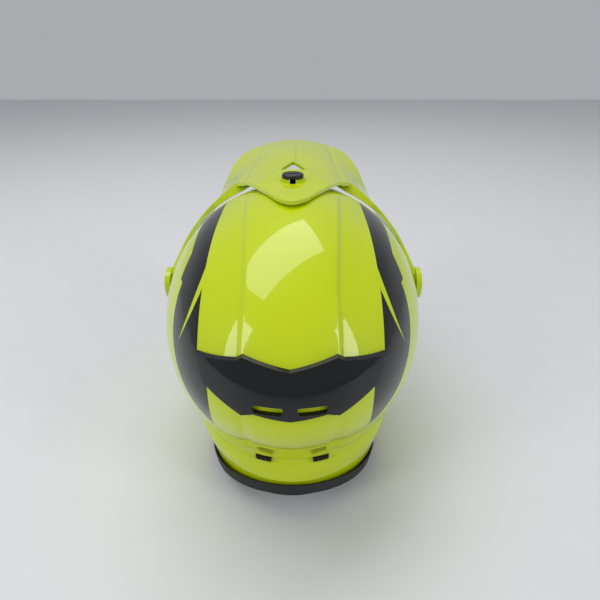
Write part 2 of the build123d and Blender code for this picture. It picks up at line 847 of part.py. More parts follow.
for shift, name in ((1, "d_ring_inner"), (-1, "d_ring_outer")):
    half = ring_inner_width / 2 + ring_wire_radius
    ring_points = [
        (strap_y - half, ring_axis_z),
        (strap_y + half, ring_axis_z),
        (strap_y + half, ring_axis_z - ring_drop * 0.45),
        (strap_y + half * 0.45, ring_axis_z - ring_drop),
        (strap_y - half * 0.45, ring_axis_z - ring_drop),
        (strap_y - half, ring_axis_z - ring_drop * 0.45),
    ]
    ring_plane = Plane.YZ.offset(ring_axis_x + shift * ring_spacing / 2)
    with BuildPart() as d_ring:
        with BuildLine(ring_plane) as ring_path:
            FilletPolyline(*ring_points, radius=2.4, close=True)
        start = ring_path.wires()[0]
        with BuildSketch(Plane(origin=start @ 0, z_dir=start % 0)):
            Circle(ring_wire_radius)
        sweep(path=start)
    finish(d_ring, name)
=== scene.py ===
"""Looks of the motocross helmet: lacquered shell, moulded peak, foam, sewn pads and webbing.

Lengths are millimetres in the helper functions and metres in the finished meshes.
The wearer's front is -Y, up is +Z, and the origin is under the crown on the floor.
"""

import math

import bmesh
import bpy
import numpy as np
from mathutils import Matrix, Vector
from mathutils.bvhtree import BVHTree


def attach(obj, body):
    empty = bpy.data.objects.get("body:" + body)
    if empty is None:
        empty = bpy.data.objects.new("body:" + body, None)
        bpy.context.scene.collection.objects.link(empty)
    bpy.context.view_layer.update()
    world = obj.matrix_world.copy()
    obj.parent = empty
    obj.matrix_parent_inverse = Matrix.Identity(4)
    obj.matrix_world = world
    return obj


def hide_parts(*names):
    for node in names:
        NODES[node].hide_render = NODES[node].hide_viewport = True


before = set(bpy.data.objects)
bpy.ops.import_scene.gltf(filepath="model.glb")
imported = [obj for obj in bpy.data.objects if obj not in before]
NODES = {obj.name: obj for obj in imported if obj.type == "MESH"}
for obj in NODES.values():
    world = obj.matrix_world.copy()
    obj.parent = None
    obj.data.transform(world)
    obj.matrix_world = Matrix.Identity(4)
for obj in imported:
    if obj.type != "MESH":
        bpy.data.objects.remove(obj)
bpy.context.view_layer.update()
MM = 0.001

# ---- sizes of the shell's form, the same as its CAD solid ----
WIDEST_Z = 150.0
CROWN_Z = 274.0
SHELL_HALF = 129.0
SHELL_FRONT = 150.0
SHELL_REAR = 181.0
SHELL_WALL = 4.0
LOWER_LEVELS = (  # z, half-width, front reach, rear reach
    (-8.0, 96.0, 166.0, 146.0),
    (46.0, 108.0, 184.5, 146.0),
    (76.0, 117.0, 183.0, 147.0),
    (112.0, 125.0, 170.0, 168.0),
    (WIDEST_Z, SHELL_HALF, SHELL_FRONT, SHELL_REAR),
)
PIVOT_Y = -12.0
PIVOT_Z = 168.0
FAR = 240.0  # reach of cutting bodies
INSERT_HOLE_RADIUS = 7.3
RIVET_SPOT = (38.0, 76.0)  # Y and Z of the strap's rivets
RIVET_HOLE_RADIUS = 3.1
DUCT_X = 16.0
DUCT_Z = 177.5
DUCT_RADIUS = 5.0


# ================================================================ camera and stage
def look_from_behind():
    """The camera stands behind the helmet and looks down at it by thirty degrees."""
    camera = bpy.data.cameras.new("camera")
    holder = bpy.data.objects.new("camera", camera)
    bpy.context.scene.collection.objects.link(holder)
    camera.sensor_width = 36.0
    camera.lens = 25.8
    holder.location = (-0.007, 0.406, 0.387)
    holder.rotation_euler = (math.radians(60), 0, math.radians(180))
    bpy.context.scene.camera = holder


def lamp(name, place, target, size, watts, shape="RECTANGLE"):
    light = bpy.data.lights.new(name, "AREA")
    light.shape = shape
    light.size = size[0]
    if shape == "RECTANGLE":
        light.size_y = size[1]
    light.energy = watts
    holder = bpy.data.objects.new(name, light)
    bpy.context.scene.collection.objects.link(holder)
    holder.location = place
    aim = Vector(target) - Vector(place)
    holder.rotation_euler = aim.to_track_quat("-Z", "Y").to_euler()


def studio():
    """Plain soft light: a pale world, one large lamp overhead and two at the sides."""
    world = bpy.data.worlds.new("studio")
    world.use_nodes = True
    background = world.node_tree.nodes["Background"]
    background.inputs["Color"].default_value = (0.86, 0.88, 0.92, 1)
    background.inputs["Strength"].default_value = 0.46
    bpy.context.scene.world = world
    lamp("overhead_softbox", (0.4, -0.5, 2.4), (0, 0, 0.15), (2.6, 1.2), 30)
    lamp("left_softbox", (1.7, 1.1, 1.2), (0, 0, 0.12), (0.7, 1.1), 11)
    lamp("right_softbox", (-1.6, 1.0, 1.0), (0, 0.1, 0.15), (0.5, 1.0), 8)


# ================================================================ mesh helpers
def new_object(name, vertices_mm, faces):
    mesh = bpy.data.meshes.new(name)
    mesh.from_pydata([tuple(v) for v in np.asarray(vertices_mm, float) * MM], [], faces)
    mesh.update()
    piece = bpy.data.objects.new(name, mesh)
    bpy.context.scene.collection.objects.link(piece)
    return piece


def apply_modifiers(piece):
    bpy.context.view_layer.update()
    evaluated = piece.evaluated_get(bpy.context.evaluated_depsgraph_get())
    mesh = bpy.data.meshes.new_from_object(evaluated)
    piece.modifiers.clear()
    piece.data = mesh


def boolean(piece, tool, operation):
    """Cuts, joins or intersects piece with tool, and removes the tool."""
    step = piece.modifiers.new(operation, "BOOLEAN")
    step.operation = operation
    step.solver = "MANIFOLD"
    step.object = tool
    apply_modifiers(piece)
    bpy.data.objects.remove(tool)


def smooth(piece, degrees=32):
    """Smooth shading, with sharp edges where faces turn by more than this."""
    limit = math.radians(degrees)
    editor = bmesh.new()
    editor.from_mesh(piece.data)
    for face in editor.faces:
        face.smooth = True
    for edge in editor.edges:
        edge.smooth = len(edge.link_faces) == 2 and edge.calc_face_angle(0) < limit
    editor.to_mesh(piece.data)
    editor.free()


def skin_of_rows(rows, top=None):
    """Vertices and faces of a closed body from stacked rings, lowest first."""
    rows = [np.asarray(row, float) for row in rows]
    count = len(rows[0])
    vertices = list(np.concatenate(rows))
    faces = []
    for level in range(len(rows) - 1):
        base = level * count
        for i in range(count):
            j = (i + 1) % count
            faces.append((base + i, base + j, base + count + j, base + count + i))
    floor = len(vertices)
    vertices.append(rows[0].mean(0))
    faces += [(floor, (i + 1) % count, i) for i in range(count)]
    roof = len(vertices)
    vertices.append(rows[-1].mean(0) if top is None else np.asarray(top, float))
    last = (len(rows) - 1) * count
    faces += [(roof, last + i, last + (i + 1) % count) for i in range(count)]
    return vertices, faces


def rounded(points, radius, steps=5):
    """A closed 2-D outline with its corners rounded."""
    outline = []
    total = len(points)
    for i, corner in enumerate(points):
        here = np.array(corner, float)
        back = np.array(points[i - 1], float) - here
        ahead = np.array(points[(i + 1) % total], float) - here
        reach = min(radius, 0.45 * np.linalg.norm(back), 0.45 * np.linalg.norm(ahead))
        start = here + back / np.linalg.norm(back) * reach
        end = here + ahead / np.linalg.norm(ahead) * reach
        for k in range(steps + 1):
            t = k / steps
            outline.append((1 - t) ** 2 * start + 2 * t * (1 - t) * here + t**2 * end)
    return outline


def prism(name, outline, low, high, axis):
    """An outline extruded along an axis. Outline pairs are the other two axes in order."""
    rows = []
    for level in (low, high):
        ring = []
        for a, b in outline:
            point = {"X": (level, a, b), "Y": (a, level, b), "Z": (a, b, level)}[axis]
            ring.append(point)
        rows.append(ring)
    piece = new_object(name, *skin_of_rows(rows))
    editor = bmesh.new()
    editor.from_mesh(piece.data)
    bmesh.ops.triangulate(editor, faces=editor.faces)
    bmesh.ops.recalc_face_normals(editor, faces=editor.faces)
    editor.to_mesh(piece.data)
    editor.free()
    return piece


def disc_outline(a, b, radius, count=64):
    turns = [2 * math.pi * i / count for i in range(count)]
    return [(a + radius * math.cos(t), b + radius * math.sin(t)) for t in turns]


def step(low, high, value):
    """A smooth step from 0 below low to 1 above high."""
    t = np.clip((value - low) / (high - low), 0, 1)
    return t * t * (3 - 2 * t)


def cubic(knots, values, at, end_slope=0.0):
    """A cubic spline, free at its start and with a given slope at its end."""
    knots = np.asarray(knots, float)
    values = np.asarray(values, float)
    n = len(knots)
    matrix = np.zeros((n, n))
    right = np.zeros(n)
    gap = np.diff(knots)
    matrix[0, 0] = 1
    for i in range(1, n - 1):
        matrix[i, i - 1] = gap[i - 1]
        matrix[i, i] = 2 * (gap[i - 1] + gap[i])
        matrix[i, i + 1] = gap[i]
        rise = (values[i + 1] - values[i]) / gap[i] - (values[i] - values[i - 1]) / gap[i - 1]
        right[i] = 6 * rise
    matrix[-1, -2] = gap[-1]
    matrix[-1, -1] = 2 * gap[-1]
    right[-1] = 6 * (end_slope - (values[-1] - values[-2]) / gap[-1])
    bend = np.linalg.solve(matrix, right)
    i = np.clip(np.searchsorted(knots, at) - 1, 0, n - 2)
    a = (knots[i + 1] - at) / gap[i]
    b = (at - knots[i]) / gap[i]
    curve = ((a**3 - a) * bend[i] + (b**3 - b) * bend[i + 1]) * gap[i] ** 2 / 6
    return a * values[i] + b * values[i + 1] + curve


# ================================================================ shell
def form_rings(depth, columns, lower_rows, upper_rows):
    """Rings of the helmet's form, `depth` inside the outer surface."""
    turn = np.linspace(0, 2 * math.pi, columns, endpoint=False)
    table = np.array(LOWER_LEVELS)
    levels = []
    for z in np.linspace(table[0, 0], WIDEST_Z, lower_rows, endpoint=False):
        levels.append([z] + [float(cubic(table[:, 0], table[:, k], z)) - depth for k in (1, 2, 3)])
    for angle in np.linspace(0, math.pi / 2, upper_rows, endpoint=False):
        share = math.cos(angle)
        levels.append(
            [
                WIDEST_Z + (CROWN_Z - WIDEST_Z - depth) * math.sin(angle),
                (SHELL_HALF - depth) * share,
                (SHELL_FRONT - depth) * share,
                (SHELL_REAR - depth) * share,
            ]
        )
    rings = []
    for z, half, front, rear in levels:
        along = np.where(np.sin(turn) > 0, rear, front) * np.sin(turn)
        rings.append(np.stack([half * np.cos(turn), along, np.full(columns, z)], 1))
    return rings


def outward(points):
    """Roughly the surface's outward direction, good enough for shallow relief."""
    reach = np.where(points[:, 1] > 0, SHELL_REAR, SHELL_FRONT)
    lift = np.where(points[:, 2] > WIDEST_Z, points[:, 2] - WIDEST_Z, 0) / (CROWN_Z - WIDEST_Z) ** 2
    normal = np.stack([points[:, 0] / SHELL_HALF**2, points[:, 1] / reach**2, lift], 1)
    return normal / np.linalg.norm(normal, axis=1, keepdims=True)


def shell_relief(points):
    """Moulded relief of the shell in millimetres, mostly pressed in."""
    side = np.abs(points[:, 0])
    y = points[:, 1]
    z = points[:, 2]
    # raised centre band over the crown, sharp on its edges and dying out forwards
    band_edge = np.interp(y, (-40, 0, 125, 160), (46, 43, 34, 36))
    crown = step(178, 200, z) * step(-30, 25, y)
    flank = step(0, 3.5, side - band_edge) * (1 - step(18, 46, side - band_edge))
    relief = -2.6 * flank * crown
    # waist groove and flared lip at the nape
    nape = step(60, 105, y)
    relief += -3.2 * nape * (1 - step(0, 7, np.abs(z - 69)))
    relief += 2.2 * nape * step(42, 46, z) * (1 - step(56, 63, z))
    # centre keel and facets of the panel below the spoiler
    panel = nape * step(74, 90, z) * (1 - step(150, 160, z))
    relief += panel * (1.6 * (1 - step(0, 34, side)) - 1.2 * (1 - step(0, 8, np.abs(side - 37))))
    # shallow channels along the flanks, as a rib on the cheek
    cheek = step(-120, -60, y) * (1 - step(60, 100, y))
    rib_z = 92 + 0.10 * (y + 20)
    relief += -1.6 * cheek * (1 - step(0, 4, np.abs(z - rib_z)))
    # brow crease above the eye port and chin crease around the mouth vent
    front = step(40, 90, -y)
    relief += -1.5 * front * (1 - step(0, 4, np.abs(z - 206 - 0.12 * side)))
    relief += -1.4 * front * step(60, 75, z) * (1 - step(0, 5, np.abs(z - 88 + 0.15 * side)))
    return relief


def build_shell():
    columns, lower_rows, upper_rows = 520, 100, 96
    rings = form_rings(0, columns, lower_rows, upper_rows)
    shaped = []
    for ring in rings:
        shaped.append(ring + outward(ring) * shell_relief(ring)[:, None])
    shell = new_object("shell_lacquered", *skin_of_rows(shaped, (0, 0, CROWN_Z)))
    inner = form_rings(SHELL_WALL, 200, 44, 40)
    inner = [ring - np.array([0, 0, 2 if i == 0 else 0]) for i, ring in enumerate(inner)]
    hollow = new_object("hollow", *skin_of_rows(inner, (0, 0, CROWN_Z - SHELL_WALL)))
    boolean(shell, hollow, "DIFFERENCE")
    base = [(-FAR, 2.5), (62, 2.5), (150, 35.5), (FAR, 35.5), (FAR, -60), (-FAR, -60)]
    boolean(shell, prism("base", base, -FAR, FAR, "X"), "DIFFERENCE")
    port = [(-98, 148), (-78, 188), (78, 188), (98, 148), (76, 107), (-76, 107)]
    boolean(shell, prism("port", rounded(port, 15, 8), -FAR, -52, "Y"), "DIFFERENCE")
    vent = [(-34, 73), (34, 73), (26, 43), (-26, 43)]
    boolean(shell, prism("vent", rounded(vent, 7, 6), -FAR, -60, "Y"), "DIFFERENCE")
    for spot in ((PIVOT_Y, PIVOT_Z, INSERT_HOLE_RADIUS), (*RIVET_SPOT, RIVET_HOLE_RADIUS)):
        hole = disc_outline(*spot)
        boolean(shell, prism("hole", hole, -FAR, FAR, "X"), "DIFFERENCE")
    hole = disc_outline(0, PIVOT_Y, INSERT_HOLE_RADIUS)
    boolean(shell, prism("hole", hole, 200, FAR * 2, "Z"), "DIFFERENCE")
    for side in (-1, 1):
        x = side * 52.0
        slot = [(x - 11, -93), (x + 11, -93), (x + 11, -63), (x - 11, -63)]
        boolean(shell, prism("slot", rounded(slot, 5), 160, FAR * 2, "Z"), "DIFFERENCE")
        duct = disc_outline(side * DUCT_X, DUCT_Z, DUCT_RADIUS)
        boolean(shell, prism("duct", duct, 0, FAR, "Y"), "DIFFERENCE")
        x = side * 26.0
        slot = [(x - 7.5, 66.5), (x + 7.5, 66.5), (x + 7.5, 71.5), (x - 7.5, 71.5)]
        boolean(shell, prism("slot", rounded(slot, 2), 0, FAR, "Y"), "DIFFERENCE")
    smooth(shell, 38)
    return shell


# ================================================================ peak
PEAK_STATIONS = (  # y, half-width and ridge height of the arch, rear to front
    (62.0, 132.0, 275.0),
    (0.0, 135.4, 279.5),
    (-60.0, 126.0, 286.0),
    (-125.0, 122.0, 290.0),
    (-187.0, 158.0, 289.0),
)
PEAK_WALL = 3.2
END_OVERRUN = 3.0
FOOT_OVERRUN = 20.0
SEAT_TOP = 282.0  # flat seat of the centre screw
SEAT_RADIUS = 12.5
SEAT_THICKNESS = 4.0
BOSS_INNER = 130.7
BOSS_OUTER = 136.2
BOSS_RADIUS = 17.0
BORES = ((127.0, 6.06), (134.0, 11.3))  # where each starts along X, and its radius


def peak_section(y):
    table = np.array(PEAK_STATIONS)[::-1]
    slope_half = (table[-1, 1] - table[-2, 1]) / (table[-1, 0] - table[-2, 0])
    slope_top = (table[-1, 2] - table[-2, 2]) / (table[-1, 0] - table[-2, 0])
    half = cubic(table[:, 0], table[:, 1], y, slope_half)
    top = cubic(table[:, 0], table[:, 2], y, slope_top)
    return float(half), float(top)


def peak_relief(points):
    """Creased ridge, raised centre tongue and pressed flanks, all inside the plain arch."""
    side = np.abs(points[:, 0])
    y = points[:, 1]
    blade = step(20, 60, -y)
    ridge = -1.9 * blade * np.clip(side / 62, 0, 1)
    # the tongue keeps its height inside a lozenge around the screw
    apex = -66.0
    edge = np.where(y < -10, 36 * np.clip((y - apex) / (-10 - apex), 0, 1), 60)
    lower = -1.5 * step(0, 3.0, side - edge) * step(20, 60, -y + 26)
    # long pressed channel beside the blade's rim
    channel = -1.3 * blade * (1 - step(0, 5, np.abs(side - 52 - 0.06 * (y + 60))))
    return ridge + lower + channel


def arch_rings(depth, shaped):
    rings = []
    rows = 150
    columns = 220
    for y in np.linspace(62, -187, rows):
        half, top = peak_section(y)
        turn = np.linspace(0, math.pi, columns)
        ring = np.stack(
            [
                (half - depth) * np.cos(turn),
                np.full(columns, y),
                WIDEST_Z + (top - WIDEST_Z - depth) * np.sin(turn),
            ],
            1,
        )
        if shaped:
            lift = np.stack([np.cos(turn), np.zeros(columns), np.sin(turn)], 1)
            ring = ring + lift * peak_relief(ring)[:, None]
        rings.append(ring)
    return rings


def room_under_arch(depth, shaped):
    """The space under the arch, run out a little past its ends and its foot."""
    rings = arch_rings(depth, shaped)
    rings[0] = rings[0] + np.array([0, END_OVERRUN, 0])
    rings[-1] = rings[-1] - np.array([0, END_OVERRUN, 0])
    drop = np.array([0, 0, FOOT_OVERRUN])
    rings = [np.vstack([ring, ring[-1] - drop, ring[0] - drop]) for ring in rings]
    hollow = new_object("hollow", *skin_of_rows(rings))
    flip_if_inside_out(hollow)
    return hollow


RIB_THICKNESS = 3.6
RIB_DEPTH = 13.0
RIB_SKIN = 0.1  # just under the peak's surface, so that the two join cleanly
RIB_CLEARANCE = 3.0
REAR_EDGE = ((-5, 182), (-23, 204), (-31, 224), (-41, 245), (-61, 270))


def arm_ribs():
    """The rolled rear edge of both arms, which turns in towards the shell."""
    ribs = new_object("ribs", *skin_of_rows(arch_rings(RIB_SKIN, True)))
    flip_if_inside_out(ribs)
    boolean(ribs, room_under_arch(RIB_DEPTH, False), "DIFFERENCE")
    band = list(REAR_EDGE) + [(y - RIB_THICKNESS, z - 1) for y, z in reversed(REAR_EDGE)]
    boolean(ribs, prism("band", band, -FAR, FAR, "X"), "INTERSECT")
    room = form_rings(-RIB_CLEARANCE, 200, 44, 60)
    keep_out = new_object("room", *skin_of_rows(room, (0, 0, CROWN_Z + RIB_CLEARANCE)))
    flip_if_inside_out(keep_out)
    boolean(ribs, keep_out, "DIFFERENCE")
    return ribs


def build_peak():
    peak = new_object("peak_moulded", *skin_of_rows(arch_rings(0, True)))
    flip_if_inside_out(peak)
    boolean(peak, room_under_arch(PEAK_WALL, True), "DIFFERENCE")
    side_outline = [
        (-186.2, 310), (-186.2, 281), (-183, 274), (-172, 269), (-125, 243), (-75, 211),
        (-29, 181), (-24, 156), (0, 156), *REAR_EDGE, (-68, 310),
    ]
    mask = prism("mask", rounded(side_outline, 5, 4), -FAR, FAR, "X")
    neck = [(66, -72), (66, -62), (46, -32), (36, -8), (12, 38), (0, 47.5)]
    neck += [(-x, y) for x, y in reversed(neck[:-1])]
    boolean(mask, prism("tongue", rounded(neck, 9, 5), 200, 330, "Z"), "UNION")
    boolean(peak, mask, "INTERSECT")
    boolean(peak, arm_ribs(), "UNION")
    seat = disc_outline(0, PIVOT_Y, SEAT_RADIUS)
    boolean(peak, prism("seat", seat, SEAT_TOP - SEAT_THICKNESS, SEAT_TOP, "Z"), "UNION")
    for side in (-1, 1):
        low, high = sorted((side * BOSS_INNER, side * BOSS_OUTER))
        boss = disc_outline(PIVOT_Y, PIVOT_Z, BOSS_RADIUS)
        boolean(peak, prism("boss", boss, low, high, "X"), "UNION")
        for start, radius in BORES:
            low, high = sorted((side * start, side * FAR))
            bore = disc_outline(PIVOT_Y, PIVOT_Z, radius)
            boolean(peak, prism("bore", bore, low, high, "X"), "DIFFERENCE")
    slot = [(-3.5, -21.5), (3.5, -21.5), (3.5, 1.5), (-3.5, 1.5)]
    boolean(peak, prism("slot", rounded(slot, 3.4), 200, FAR * 2, "Z"), "DIFFERENCE")
    hole = [(-13.9, -39), (13.9, -39), (0, -63)]
    boolean(peak, prism("air_hole", rounded(hole, 4), 200, FAR * 2, "Z"), "DIFFERENCE")
    edge = peak.modifiers.new("edge", "BEVEL")
    edge.width = 0.8 * MM
    edge.segments = 2
    edge.limit_method = "ANGLE"
    edge.angle_limit = math.radians(50)
    apply_modifiers(peak)
    smooth(peak, 34)
    return peak


def flip_if_inside_out(piece):
    editor = bmesh.new()
    editor.from_mesh(piece.data)
    bmesh.ops.recalc_face_normals(editor, faces=editor.faces)
    if editor.calc_volume(signed=True) < 0:
        bmesh.ops.reverse_faces(editor, faces=editor.faces)
    editor.to_mesh(piece.data)
    editor.free()


# ================================================================ pads
CHANNEL_WIDTH = 1.9
CHANNEL_DEPTH = 1.8
WELD_REACH = 0.00002  # metres
STITCH_REACH = 8.0  # a longer step between two stitches is a gap in the pad
THREAD_SIDES = 6


def swell(piece, cap_mm, pressure=4.0, frames=16):
    """Cloth under a little inner pressure, so that the cover crowns between its seams."""
    start = points_of(piece)
    cover = piece.modifiers.new("cover", "CLOTH")
    cover.settings.quality = 5
    cover.settings.mass = 0.2
    cover.settings.use_pressure = True
    cover.settings.uniform_pressure_force = pressure
    cover.settings.effector_weights.gravity = 0
    for number in range(1, frames + 1):
        bpy.context.scene.frame_set(number)
    apply_modifiers(piece)
    bpy.context.scene.frame_set(1)
    move = points_of(piece) - start
    reach = np.linalg.norm(move, axis=1, keepdims=True)
    move = move * np.minimum(1, cap_mm / np.maximum(reach, 1e-6))
    piece.data.vertices.foreach_set("co", ((start + move) * MM).ravel())
    piece.data.update()


def points_of(piece):
    spots = np.zeros(len(piece.data.vertices) * 3)
    piece.data.vertices.foreach_get("co", spots)
    return spots.reshape(-1, 3) / MM


def push_out(piece, distance_mm):
    """Moves every point of a piece along its normal, by one distance or one for each."""
    normals = np.zeros(len(piece.data.vertices) * 3)
    piece.data.vertex_normals.foreach_get("vector", normals)
    spots = points_of(piece) + normals.reshape(-1, 3) * distance_mm
    piece.data.vertices.foreach_set("co", (spots * MM).ravel())
    piece.data.update()


def press_seams(piece, seams, width_mm, depth_mm):
    """Presses stitched channels into a pad. A seam is a direction and an offset in mm."""
    spots = points_of(piece)
    deep = np.zeros(len(spots))
    for direction, offset in seams:
        away = np.abs(spots @ np.array(direction, float) - offset)
        deep = np.maximum(deep, np.exp(-((away / width_mm) ** 2)))
    push_out(piece, -depth_mm * deep[:, None])


def sewn_pad(node, name, seams, voxel_mm=4.0, inset_mm=2.4, cap_mm=2.2):
    """A foam pad in a knitted cover, made from the room that its CAD solid holds."""
    pad = bpy.data.objects.new(name, NODES[node].data.copy())
    bpy.context.scene.collection.objects.link(pad)
    weld = pad.modifiers.new("weld", "WELD")
    weld.merge_threshold = WELD_REACH
    remesh = pad.modifiers.new("voxels", "REMESH")
    remesh.mode = "VOXEL"
    remesh.voxel_size = voxel_mm * MM
    relax = pad.modifiers.new("relax", "SMOOTH")
    relax.iterations = 4
    apply_modifiers(pad)
    push_out(pad, -inset_mm)
    swell(pad, cap_mm)
    fine = pad.modifiers.new("fine", "SUBSURF")
    fine.levels = 1
    apply_modifiers(pad)
    press_seams(pad, seams, CHANNEL_WIDTH, CHANNEL_DEPTH)
    smooth(pad, 180)
    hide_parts(node)
    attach(pad, "helmet")
    return pad


def stitch_row(name, pad, starts, direction):
    """Thread stitches where rays from these points meet the pad."""
    tree = BVHTree.FromObject(pad, bpy.context.evaluated_depsgraph_get())
    hits = [tree.ray_cast(Vector(start) * MM, Vector(direction)) for start in starts]
    hits = [(hit[0], hit[1]) for hit in hits if hit[0] is not None]
    return thread(name, hits)


def thread(name, hits, length_mm=2.6, thickness_mm=0.45):
    """Short rounded stitches laid end to end along points on a surface."""
    vertices = []
    faces = []
    for (spot, normal), (ahead, _) in zip(hits[:-1], hits[1:]):
        run = ahead - spot
        if run.length < 1e-6 or run.length > STITCH_REACH * MM:
            continue
        along = run.normalized()
        across = along.cross(normal).normalized()
        half = along * length_mm * MM / 2
        middle = spot + run / 2 + normal * thickness_mm * MM * 0.3
        base = len(vertices)
        for k, share in enumerate((-1, -0.6, 0.6, 1)):
            swell_by = thickness_mm * MM * (0.35 if k in (0, 3) else 1.0)
            for turn in range(THREAD_SIDES):
                angle = turn * 2 * math.pi / THREAD_SIDES
                offset = across * math.cos(angle) + normal * math.sin(angle)
                vertices.append(middle + half * share + offset * swell_by)
        for k in range(3):
            ring = base + k * THREAD_SIDES
            for turn in range(THREAD_SIDES):
                a = ring + turn
                b = ring + (turn + 1) % THREAD_SIDES
                faces.append((a, b, b + THREAD_SIDES, a + THREAD_SIDES))
        faces.append(tuple(base + turn for turn in reversed(range(THREAD_SIDES))))
        faces.append(tuple(base + 3 * THREAD_SIDES + turn for turn in range(THREAD_SIDES)))
    piece = new_object(name, [v / MM for v in vertices], faces)
    smooth(piece, 60)
    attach(piece, "helmet")
    return piece


# ================================================================ webbing
STRAP_Y = 38.0
STRAP_WIDTH = 25.0
STRAP_WALL = 1.9
LEFT_ROUTE = ((104, 82), (99.8, 68), (68, 21), (12, 14))
RIGHT_ROUTE = (  # down to the rings, round their bars and back under itself
    (104, 82), (99.8, 68), (68, 37), (40, 31.6), (18, 32.2), (15.2, 32.9),
    (10.8, 32.9), (7.9, 30), (10.8, 27.1), (15.2, 27.1), (19, 28.6), (40, 29.4),
)
STRAP_BEND = 14.0
STRAP_STEP = 2.0
SELVEDGE = 0.8
CUP_FROM = 3.0
CUP_LIFT = 0.86


def open_path(points, radius):
    """An open 2-D route with its corners rounded."""
    path = [np.array(points[0], float)]
    for back, here, ahead in zip(points[:-2], points[1:-1], points[2:]):
        here = np.array(here, float)
        back = np.array(back, float) - here
        ahead = np.array(ahead, float) - here
        reach = min(radius, 0.48 * np.linalg.norm(back), 0.48 * np.linalg.norm(ahead))
        start = here + back / np.linalg.norm(back) * reach
        end = here + ahead / np.linalg.norm(ahead) * reach
        for k in range(7):
            t = k / 6
            path.append((1 - t) ** 2 * start + 2 * t * (1 - t) * here + t**2 * end)
    path.append(np.array(points[-1], float))
    return path


def webbing_strap(node, name, route, side):
    """Flat webbing with rounded selvedges and a slight cup across its width."""
    path = open_path(route, STRAP_BEND)
    dense = [path[0]]
    for start, end in zip(path[:-1], path[1:]):
        pieces = max(1, int(np.linalg.norm(end - start) / STRAP_STEP))
        dense += [start + (end - start) * k / pieces for k in range(1, pieces + 1)]
    half = STRAP_WIDTH / 2
    selvedge = half - SELVEDGE
    cup = half - CUP_FROM
    profile = [(-selvedge, 1), (-cup, 1), (0, CUP_LIFT), (cup, 1), (selvedge, 1), (half, 0)]
    profile += [(-across, -lift) for across, lift in profile]
    rows = []
    for i, spot in enumerate(dense):
        run = dense[min(i + 1, len(dense) - 1)] - dense[max(i - 1, 0)]
        run = run / np.linalg.norm(run)
        normal = np.array([-run[1], run[0]])
        ring = []
        for across, lift in profile:
            x, z = spot + normal * lift * STRAP_WALL / 2
            ring.append((side * x, STRAP_Y + across, z))
        rows.append(ring)
    strap = new_object(name, *skin_of_rows(rows))
    flip_if_inside_out(strap)
    smooth(strap, 50)
    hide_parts(node)
    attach(strap, "helmet")
    return strap


# ================================================================ materials
def linear(code):
    """An sRGB hex colour as linear red, green, blue and alpha."""
    parts = [int(code[i : i + 2], 16) / 255 for i in (0, 2, 4)]
    lit = [p / 12.92 if p <= 0.04045 else ((p + 0.055) / 1.055) ** 2.4 for p in parts]
    return (*lit, 1.0)


def add(tree, kind, settings=None, **links):
    """Adds one node. Settings are its properties, links its inputs: a value or a socket."""
    item = tree.nodes.new(kind)
    for key, value in (settings or {}).items():
        setattr(item, key, value)
    for key, value in links.items():
        name = key.replace("_", " ")
        numbered = key[0] == "i" and key[1:].isdigit()
        socket = item.inputs[int(key[1:]) if numbered else name]
        if isinstance(value, bpy.types.NodeSocket):
            tree.links.new(value, socket)
        else:
            socket.default_value = value
    return item


def material(name):
    """A new node material and its shader."""
    made = bpy.data.materials.new(name)
    made.use_nodes = True
    return made, made.node_tree, made.node_tree.nodes["Principled BSDF"]


def place(tree):
    return add(tree, "ShaderNodeTexCoord").outputs["Object"]


def noise(tree, size_mm, detail=3.0, rough=0.5):
    """A noise whose blobs are about this big."""
    settings = {"Scale": 1 / (size_mm * MM), "Detail": detail, "Roughness": rough}
    return add(tree, "ShaderNodeTexNoise", Vector=place(tree), **settings).outputs["Fac"]


def bump(tree, shader, height, depth_mm, strength=1.0, normal_socket="Normal"):
    made = add(tree, "ShaderNodeBump", Height=height, Distance=depth_mm * MM, Strength=strength)
    tree.links.new(made.outputs["Normal"], shader.inputs[normal_socket])
    return made


def maths(tree, operation, a, b=0.0, clamp=False):
    settings = {"operation": operation, "use_clamp": clamp}
    return add(tree, "ShaderNodeMath", settings, i0=a, i1=b).outputs[0]


def mix_colours(tree, factor, first, second):
    made = add(tree, "ShaderNodeMix", {"data_type": "RGBA"})
    for number, value in ((0, factor), (6, first), (7, second)):
        socket = made.inputs[number]
        if isinstance(value, bpy.types.NodeSocket):
            tree.links.new(value, socket)
        else:
            socket.default_value = value
    return made.outputs[2]


def lacquer_coat(tree, shader):
    """Clear lacquer over colour: mirror-like, with the faint waviness of sprayed paint."""
    shader.inputs["Roughness"].default_value = 0.34
    shader.inputs["IOR"].default_value = 1.5
    shader.inputs["Specular IOR Level"].default_value = 0.12
    shader.inputs["Coat Weight"].default_value = 0.85
    shader.inputs["Coat Roughness"].default_value = 0.035
    shader.inputs["Coat IOR"].default_value = 1.5
    bump(tree, shader, noise(tree, 2.6, 2.0), 0.012, 0.5, "Coat Normal")


WAVE_RATE = 20.0  # radians that a band wave of scale 1 turns through in one metre
BEAD_MM = 3.2
RIB_MM = 3.157  # real webbing ribs are about half this; drawn coarse so that they show
THREAD_MM = 1.973  # slanted threads repeat at 1.15 times this
DRAG_LINE_MM = 1.963
KNIT_MM = 2.17  # real knit is about half this; drawn coarse so that it shows
YELLOW = "CBDD00"
YELLOW_DEEP = "BFD200"
GLOSS_BLACK = "070708"


def fluorescent_colour(tree):
    """Fluorescent yellow drifts a little towards green where the coat is thicker."""
    return mix_colours(tree, noise(tree, 60, 2.0), linear(YELLOW), linear(YELLOW_DEEP))


